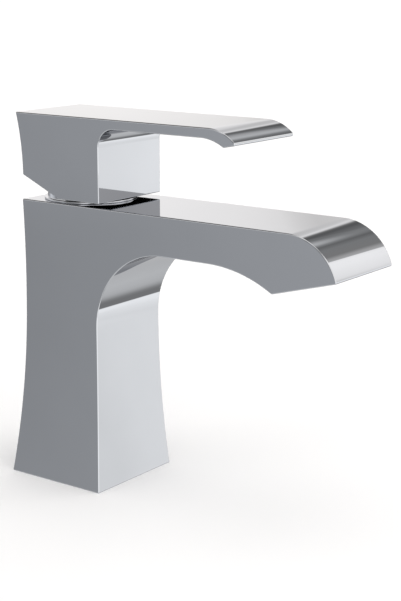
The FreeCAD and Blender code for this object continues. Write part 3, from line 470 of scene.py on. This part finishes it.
def paint_underside_shade(piece, underside_shade):
    """Paints the handle's underside and its hollow near black with no gloss: painted shade under the
    handle.
    """
    def hidden(point):
        in_cavity = (point - PIVOT).length < CAVITY_RADIUS + NEAR
        under_block = point.z < HANDLE_FLOOR + NEAR
        inside_block = (-HANDLE_FRONT + CLEAR < point.y < HANDLE_REAR - CLEAR
                        and HANDLE_FLOOR < point.z < HANDLE_TOP - LEVER_THICKNESS)
        in_socket = inside_block and abs(point.x) < STEM_SOCKET / 2 + NEAR
        return in_cavity or under_block or in_socket

    piece.data.materials.append(underside_shade)
    make_active(piece)
    piece.active_material_index = 1
    pick(piece, "FACE", hidden)
    bpy.ops.object.material_slot_assign()
    bpy.ops.object.mode_set(mode="OBJECT")


def dome_collar(chrome):
    """The round collar over the cartridge, a thin shell about the lever's pivot on a low flat foot."""
    inner = DOME_RADIUS - DOME_WALL
    inner_foot = math.sqrt(inner ** 2 - (dome_low.z - PIVOT.z) ** 2)
    foot_top = dome_low.z + DOME_FOOT_HEIGHT
    outer_start = math.sqrt(DOME_RADIUS ** 2 - (foot_top - PIVOT.z) ** 2)
    outer_rim = math.sqrt(DOME_RADIUS ** 2 - DOME_OPENING ** 2)
    inner_rim = math.sqrt(inner ** 2 - DOME_OPENING ** 2)
    outline = Outline("dome_collar", AXIS_Y + inner_foot, dome_low.z)
    outline.line(AXIS_Y + DOME_FOOT_RADIUS, dome_low.z)
    outline.line(AXIS_Y + DOME_FOOT_RADIUS, foot_top)
    outline.line(AXIS_Y + outer_start, foot_top)
    outline.arc(AXIS_Y, PIVOT.z, AXIS_Y + DOME_OPENING, PIVOT.z + outer_rim)
    outline.line(AXIS_Y + DOME_OPENING, PIVOT.z + inner_rim)
    outline.arc(AXIS_Y, PIVOT.z, AXIS_Y + inner_foot, dome_low.z)
    piece = outline.turn_round(AXIS_Y)
    round_edges(piece, DOME_EDGE, segments=2)
    smooth(piece)
    dress(piece, chrome, "faucet_body", "dome_cover")


def index_plug(plastic):
    """The plug at the handle's rear: a short peg with a crowned, rounded head."""
    bpy.ops.object.select_all(action="DESELECT")
    length = plug_high.y - plug_low.y
    middle = (plug_low + plug_high) / 2
    bpy.ops.mesh.primitive_cylinder_add(vertices=ROUND_STEPS, radius=PLUG_RADIUS, depth=length,
                                        location=middle, rotation=(BACKWARDS, 0, 0))
    bpy.ops.object.transform_apply(location=True, rotation=True, scale=True)
    piece = bpy.context.object
    piece.name = "index_button"
    piece.data.name = "index_button"
    pick(piece, "FACE", lambda point: point.y > plug_high.y - NEAR)
    bpy.ops.mesh.inset(thickness=PLUG_RIM)
    bpy.ops.mesh.inset(thickness=PLUG_STEP, depth=-PLUG_RECESS)
    bpy.ops.object.mode_set(mode="OBJECT")
    round_edges(piece, PLUG_EDGE, segments=3)
    smooth(piece)
    dress(piece, plastic, "lever", "index_plug")


def aerator_shell(plastic):
    """The aerator's shell: a short tube with a lip at its mouth, leant into the outlet."""
    middle, lean = outlet_axis()
    outline = Outline("aerator_shell", AERATOR_LIP_BORE, AERATOR_RECESS)
    outline.line(AERATOR_RADIUS, AERATOR_RECESS)
    outline.line(AERATOR_RADIUS, AERATOR_END)
    outline.line(AERATOR_BORE, AERATOR_END)
    outline.line(AERATOR_BORE, AERATOR_RECESS + AERATOR_LIP)
    outline.line(AERATOR_LIP_BORE, AERATOR_RECESS + AERATOR_LIP)
    piece = outline.turn_round(0)
    round_edges(piece, AERATOR_EDGE, segments=3)
    smooth(piece)
    make_active(piece)
    bpy.ops.object.mode_set(mode="EDIT")
    bpy.ops.mesh.select_all(action="SELECT")
    bpy.ops.transform.rotate(value=-lean, orient_axis="X", center_override=(0, 0, 0))
    bpy.ops.transform.translate(value=middle)
    bpy.ops.object.mode_set(mode="OBJECT")
    dress(piece, plastic, "faucet_body", "aerator_housing")


# Finishes

NOISE_LOW, NOISE_HIGH = 0.3, 0.7    # between these lies most of a noise
FINE_DETAIL = 4.0                   # octaves of the noise in a grain
GRAIN_STRENGTH = 0.4


def new_finish(name):
    """A node material: its tree and its surface shader."""
    finish = bpy.data.materials.new(name)
    finish.use_nodes = True
    return finish, finish.node_tree, finish.node_tree.nodes["Principled BSDF"]


def add_node(tree, kind, **inputs):
    """A node with its input values, the underscores of their names read as spaces."""
    node = tree.nodes.new(kind)
    for name, value in inputs.items():
        node.inputs[name.replace("_", " ")].default_value = value
    return node


def noise(tree, scale, detail=3.0, stretch=(1, 1, 1)):
    """Noise in the piece's own metres, stretched along the axes where asked."""
    coordinates = add_node(tree, "ShaderNodeTexCoord")
    mapping = add_node(tree, "ShaderNodeMapping", Scale=stretch)
    texture = add_node(tree, "ShaderNodeTexNoise", Scale=scale, Detail=detail)
    tree.links.new(coordinates.outputs["Object"], mapping.inputs["Vector"])
    tree.links.new(mapping.outputs["Vector"], texture.inputs["Vector"])
    return texture.outputs["Fac"]


def vary_value(tree, source, socket, low, high):
    """Drives a value from a noise, between two levels."""
    spread = add_node(tree, "ShaderNodeMapRange", From_Min=NOISE_LOW, From_Max=NOISE_HIGH,
                      To_Min=low, To_Max=high)
    tree.links.new(source, spread.inputs["Value"])
    tree.links.new(spread.outputs["Result"], socket)


def vary_colour(tree, source, socket, dark, light):
    """Drives a colour from a noise, between two shades."""
    ramp = add_node(tree, "ShaderNodeValToRGB")
    ramp.color_ramp.elements[0].position = NOISE_LOW
    ramp.color_ramp.elements[0].color = (*dark, 1)
    ramp.color_ramp.elements[1].position = NOISE_HIGH
    ramp.color_ramp.elements[1].color = (*light, 1)
    tree.links.new(source, ramp.inputs["Fac"])
    tree.links.new(ramp.outputs["Color"], socket)


def raise_grain(tree, source, shader, depth, strength):
    """A fine relief of that depth from a noise."""
    bump = add_node(tree, "ShaderNodeBump", Strength=strength, Distance=depth)
    tree.links.new(source, bump.inputs["Height"])
    tree.links.new(bump.outputs["Normal"], shader.inputs["Normal"])


def chrome_finish():
    """Bright chrome: a near mirror with faint wiping marks and the slight ripple of a casting."""
    finish, tree, shader = new_finish("bright_chrome")
    tint = noise(tree, 40)
    wiping_marks = noise(tree, 220, detail=5, stretch=(1, 1, 0.25))
    ripple = noise(tree, 90, detail=2)
    shader.inputs["Metallic"].default_value = 1.0
    shader.inputs["Specular Tint"].default_value = (0.75, 0.75, 0.76, 1)
    vary_colour(tree, tint, shader.inputs["Base Color"], (0.530, 0.546, 0.578), (0.542, 0.558, 0.590))
    vary_value(tree, wiping_marks, shader.inputs["Roughness"], 0.012, 0.035)
    raise_grain(tree, ripple, shader, depth=0.02 * MM, strength=0.02)
    return finish


def plain_finish(name, shades, roughness, grain, depth, metal=0.0, stretch=(1, 1, 1)):
    """A finish between two shades and two roughnesses, with a grain of that fineness and depth."""
    finish, tree, shader = new_finish(name)
    patches = noise(tree, grain / 6)
    marks = noise(tree, grain / 2, FINE_DETAIL, stretch)
    relief = noise(tree, grain, FINE_DETAIL, stretch)
    shader.inputs["Metallic"].default_value = metal
    vary_colour(tree, patches, shader.inputs["Base Color"], *shades)
    vary_value(tree, marks, shader.inputs["Roughness"], *roughness)
    raise_grain(tree, relief, shader, depth, GRAIN_STRENGTH)
    return finish


def painted_shade_finish():
    """Near black and without any reflection: painted shade for the handle's underside and hollow."""
    finish = plain_finish("painted_underside_shade", ((0.008, 0.008, 0.0085), (0.014, 0.014, 0.0145)), (0.5, 0.7),
                          grain=900, depth=0.02 * MM)
    shader = finish.node_tree.nodes["Principled BSDF"]
    shader.inputs["Specular IOR Level"].default_value = 0.0
    return finish


def index_finish():
    """The plug's grey plastic."""
    return plain_finish("index_plastic", ((0.45, 0.46, 0.48), (0.52, 0.53, 0.55)), (0.3, 0.45),
                        grain=1400, depth=0.01 * MM)


def finish_hidden_pieces():
    """The finishes of the pieces that keep their CAD shape; gives back the aerator's plastic."""
    brass = plain_finish("turned_brass", ((0.62, 0.43, 0.17), (0.74, 0.54, 0.25)), (0.22, 0.42),
                         grain=900, depth=0.02 * MM, metal=1.0, stretch=(1, 1, 8))
    rubber = plain_finish("black_rubber", ((0.012, 0.012, 0.013), (0.03, 0.03, 0.031)), (0.55, 0.8),
                          grain=1600, depth=0.03 * MM)
    white = plain_finish("white_acetal", ((0.76, 0.76, 0.73), (0.84, 0.84, 0.82)), (0.32, 0.48),
                         grain=1200, depth=0.012 * MM)
    grey = plain_finish("grey_acetal", ((0.21, 0.215, 0.22), (0.28, 0.285, 0.29)), (0.35, 0.5),
                        grain=1200, depth=0.012 * MM)
    red = plain_finish("red_acetal", ((0.42, 0.03, 0.025), (0.55, 0.05, 0.04)), (0.35, 0.5),
                       grain=1200, depth=0.012 * MM)
    ceramic = plain_finish("disc_ceramic", ((0.80, 0.79, 0.76), (0.88, 0.87, 0.85)), (0.10, 0.2),
                           grain=2200, depth=0.004 * MM)
    steel = plain_finish("stainless_steel", ((0.50, 0.50, 0.50), (0.62, 0.62, 0.61)), (0.2, 0.4),
                         grain=1500, depth=0.01 * MM, metal=1.0, stretch=(6, 1, 1))
    aerator = plain_finish("aerator_plastic", ((0.62, 0.63, 0.64), (0.70, 0.71, 0.72)), (0.3, 0.45),
                           grain=1400, depth=0.01 * MM)
    worn_by = {
        brass: ("retaining_nut", "stem"),
        rubber: ("foot_gasket", "dome_o_ring", "housing_o_ring", "rotor_o_ring", "port_seals",
                 "disc_seals", "aerator_washer"),
        white: ("cartridge_housing", "cartridge_base"),
        grey: ("rotor", "disc_carrier"),
        red: ("stop_ring",),
        ceramic: ("fixed_disc", "moving_disc"),
        steel: ("pivot_pin", "grub_screw", "aerator_screen"),
        aerator: ("aerator_grid", "aerator_diffuser"),
    }
    for finish, names in worn_by.items():
        for name in names:
            nodes[name].data.materials.clear()
            nodes[name].data.materials.append(finish)
    return aerator


# Studio

COOL = (0.985, 1.0, 1.02)
EVEN = (1.005, 1.0, 0.985)
WARM = (1.025, 1.0, 0.97)


def panels(tint, *edges):
    """A row of panels: bearings from straight behind, in degrees, and the light at each."""
    return tuple((bearing, tuple(light * part for part in tint)) for bearing, light in edges)


CURTAIN = panels(EVEN, (4, 0.68), (17, 0.69), (30, 0.645), (37, 0.595), (42, 0.495), (49, 0.3),
                 (53.4, 0.245), (63.2, 0.243), (64.8, 1.17), (69, 1.17), (75, 1.065), (84, 0.975))
REAR_SWEEP = panels(COOL, (0, 0.85), (10, 0.66), (24, 0.3), (36, 0.3))
SIDE_SWEEP = panels(EVEN, (66, 0.3), (80, 0.36), (91, 0.6), (103, 0.98), (111, 0.85))
FRONT_SWEEP = panels(EVEN, (148, 1.45), (160, 1.3), (180, 0.95))
LOW_FRONT_WALL = panels(EVEN, (115.5, 1.17), (118, 1.17), (120.3, 1.065), (124.3, 0.975), (126.5, 1.0),
                        (128, 0.975), (129.5, 0.9), (138, 0.93))
FRONT_WALL = panels(EVEN, (115.5, 1.17), (127, 1.09), (129, 1.015), (138, 1.035))
LOW_BACK_WALL = panels(WARM, (48, 1.09), (51, 1.035), (52.6, 0.975), (53.6, 0.83))
BACK_WALL = panels(WARM, (48, 1.19), (51, 1.13), (52.6, 1.065), (53.6, 0.88))
HIGH_BACK_WALL = panels(WARM, (42, 0.14), (49, 1.04), (51.6, 1.0), (52.8, 0.78))
SIDE_LIGHT = panels(WARM, (54.3, 0.8), (55.4, 0.845), (56.4, 1.06), (57, 1.0), (58.5, 0.22))
LOW_FLAGS = panels(EVEN, (60, 0.14), (61.2, 0.142), (63.5, 0.185), (66.5, 0.215))
HIGH_FLAGS = panels(EVEN, (60, 0.17), (62, 0.22), (64.8, 0.235), (66.5, 0.25))
FLAGS = panels(EVEN, (69.3, 0.29), (71.7, 0.3), (74.8, 0.26), (78, 0.175), (84, 0.265))
TOP_FLAGS = panels(EVEN, (60.7, 0.22), (63.1, 0.37), (65.5, 0.51), (68, 0.575), (70.4, 0.64),
                   (72.8, 0.54), (75.2, 0.31), (78, 0.185), (84, 0.265))
STRIP_LIGHT = panels(WARM, (94.5, 0.265), (96.3, 0.36), (98.3, 0.48), (100.5, 0.52), (101.2, 1.15),
                     (103.5, 1.215), (108, 1.2), (115, 1.12), (119.3, 1.035), (122, 0.81), (126, 0.7),
                     (146, 1.3), (180, 0.95))
CEILING = panels(WARM, (0, 0.45), (180, 0.45))
SOFTBOX = panels(WARM, (0, 1.1), (180, 1.1))
PANEL_LEVEL = 1.236                 # light of a panel at 1
HALF_TURN = 180.0                   # bearings run from straight behind to straight ahead

# Rings of panels round the object, which the chrome mirrors. Each has the elevations in degrees between
# which it takes over from the ring below, how many degrees its panels' edges move back for each degree
# of elevation, and its panels.
PANEL_RINGS = (
    (None, 1.92, CURTAIN),
    ((-27.5, -24.5), 0.16,
     REAR_SWEEP + panels(COOL, (44, 0.335), (57, 0.43)) + SIDE_SWEEP + LOW_FRONT_WALL + FRONT_SWEEP),
    ((-11.0, -8.0), 0.16,
     REAR_SWEEP + panels(COOL, (44, 0.365), (57, 0.45)) + SIDE_SWEEP + FRONT_WALL + FRONT_SWEEP),
    ((-3.0, 1.0), -0.4, LOW_BACK_WALL + SIDE_LIGHT + LOW_FLAGS + FLAGS + STRIP_LIGHT),
    ((7.0, 9.0), -0.4, BACK_WALL + SIDE_LIGHT + LOW_FLAGS + FLAGS + STRIP_LIGHT),
    ((14.0, 19.0), -0.4, HIGH_BACK_WALL + SIDE_LIGHT + LOW_FLAGS + FLAGS + STRIP_LIGHT),
    ((29.9, 30.8), -0.4, HIGH_BACK_WALL + SIDE_LIGHT + HIGH_FLAGS + FLAGS + STRIP_LIGHT),
    ((31.2, 33.6), -0.4, HIGH_BACK_WALL + SIDE_LIGHT + TOP_FLAGS + STRIP_LIGHT),
    ((50.0, 58.0), 0.0, CEILING),
    ((64.0, 70.0), 0.0, SOFTBOX),
)

FLOOR_SIZE = 60
FLOOR_WHITE = (0.98, 0.985, 1.0, 1)
LAMP_SPREAD = math.radians(170)
LAMP_ENERGY = 0.85

CAMERA_PLACE = Vector((-0.47080, -0.40939, 0.22404))
CAMERA_TARGET = Vector((0.082604, 0.0, 0.061336))
CAMERA_LENS = 86.89
CAMERA_SENSOR = 36.0


def studio_panels():
    """The world: soft panels round the object, and a softbox in the ceiling."""
    world = bpy.data.worlds.new("studio")
    world.use_nodes = True
    scene.world = world
    tree = world.node_tree

    def calculate(operation, first, second=None):
        node = add_node(tree, "ShaderNodeMath")
        node.operation = operation
        for socket, value in zip(node.inputs, (first, second)):
            if isinstance(value, bpy.types.NodeSocket):
                tree.links.new(value, socket)
            elif value is not None:
                socket.default_value = value
        return node.outputs["Value"]

    coordinates = add_node(tree, "ShaderNodeTexCoord")
    direction = add_node(tree, "ShaderNodeSeparateXYZ")
    tree.links.new(coordinates.outputs["Generated"], direction.inputs["Vector"])
    sideways = calculate("ABSOLUTE", direction.outputs["X"])
    bearing = calculate("DEGREES", calculate("ARCTAN2", sideways, direction.outputs["Y"]))
    elevation = calculate("DEGREES", calculate("ARCSINE", direction.outputs["Z"]))

    tone = None
    for takes_over, lean, edges in PANEL_RINGS:
        ramp = add_node(tree, "ShaderNodeValToRGB")
        leant = calculate("ADD", bearing, calculate("MULTIPLY", elevation, lean))
        tree.links.new(calculate("DIVIDE", leant, HALF_TURN), ramp.inputs["Fac"])
        elements = ramp.color_ramp.elements
        while len(elements) < len(edges):
            elements.new(0.5)
        for element, (degrees, colour) in zip(elements, edges):
            element.position = degrees / HALF_TURN
            element.color = (*colour, 1)
        if takes_over is None:
            tone = ramp.outputs["Color"]
            continue
        share = add_node(tree, "ShaderNodeMapRange", From_Min=takes_over[0], From_Max=takes_over[1])
        share.interpolation_type = "SMOOTHSTEP"
        tree.links.new(elevation, share.inputs["Value"])
        mix = add_node(tree, "ShaderNodeMixRGB")
        tree.links.new(share.outputs["Result"], mix.inputs["Fac"])
        tree.links.new(tone, mix.inputs["Color1"])
        tree.links.new(ramp.outputs["Color"], mix.inputs["Color2"])
        tone = mix.outputs["Color"]
    background = tree.nodes["Background"]
    background.inputs["Strength"].default_value = PANEL_LEVEL
    tree.links.new(tone, background.inputs["Color"])


def floor_and_lamp():
    """A white floor, which the chrome doesn't mirror, and the softbox's lamp."""
    bpy.ops.object.select_all(action="DESELECT")
    bpy.ops.mesh.primitive_plane_add(size=FLOOR_SIZE)
    floor = bpy.context.object
    floor.name = "studio_floor"
    finish, _, shader = new_finish("white_floor")
    shader.inputs["Base Color"].default_value = FLOOR_WHITE
    shader.inputs["Roughness"].default_value = 0.9
    shader.inputs["Specular IOR Level"].default_value = 0.0
    floor.data.materials.append(finish)
    floor.visible_glossy = False

    lamp_data = bpy.data.lights.new("softbox_lamp", "SUN")
    lamp_data.angle = LAMP_SPREAD
    lamp_data.energy = LAMP_ENERGY
    lamp = bpy.data.objects.new("softbox_lamp", lamp_data)
    lamp.visible_glossy = False
    scene.collection.objects.link(lamp)


def camera():
    """The camera at the photograph's place."""
    camera_data = bpy.data.cameras.new("camera")
    camera_data.lens = CAMERA_LENS
    camera_data.sensor_width = CAMERA_SENSOR
    taken_from = bpy.data.objects.new("camera", camera_data)
    taken_from.location = CAMERA_PLACE
    taken_from.rotation_euler = (CAMERA_TARGET - CAMERA_PLACE).to_track_quat("-Z", "Y").to_euler()
    scene.collection.objects.link(taken_from)
    scene.camera = taken_from


chrome = chrome_finish()
body_casting(chrome)
# The handle's underside gets painted shade, a near-black finish without reflection.
handle_casting(chrome, painted_shade_finish())
dome_collar(chrome)
aerator_shell(finish_hidden_pieces())
index_plug(index_finish())
studio_panels()
floor_and_lamp()
camera()
scene.view_settings.view_transform = "Standard"
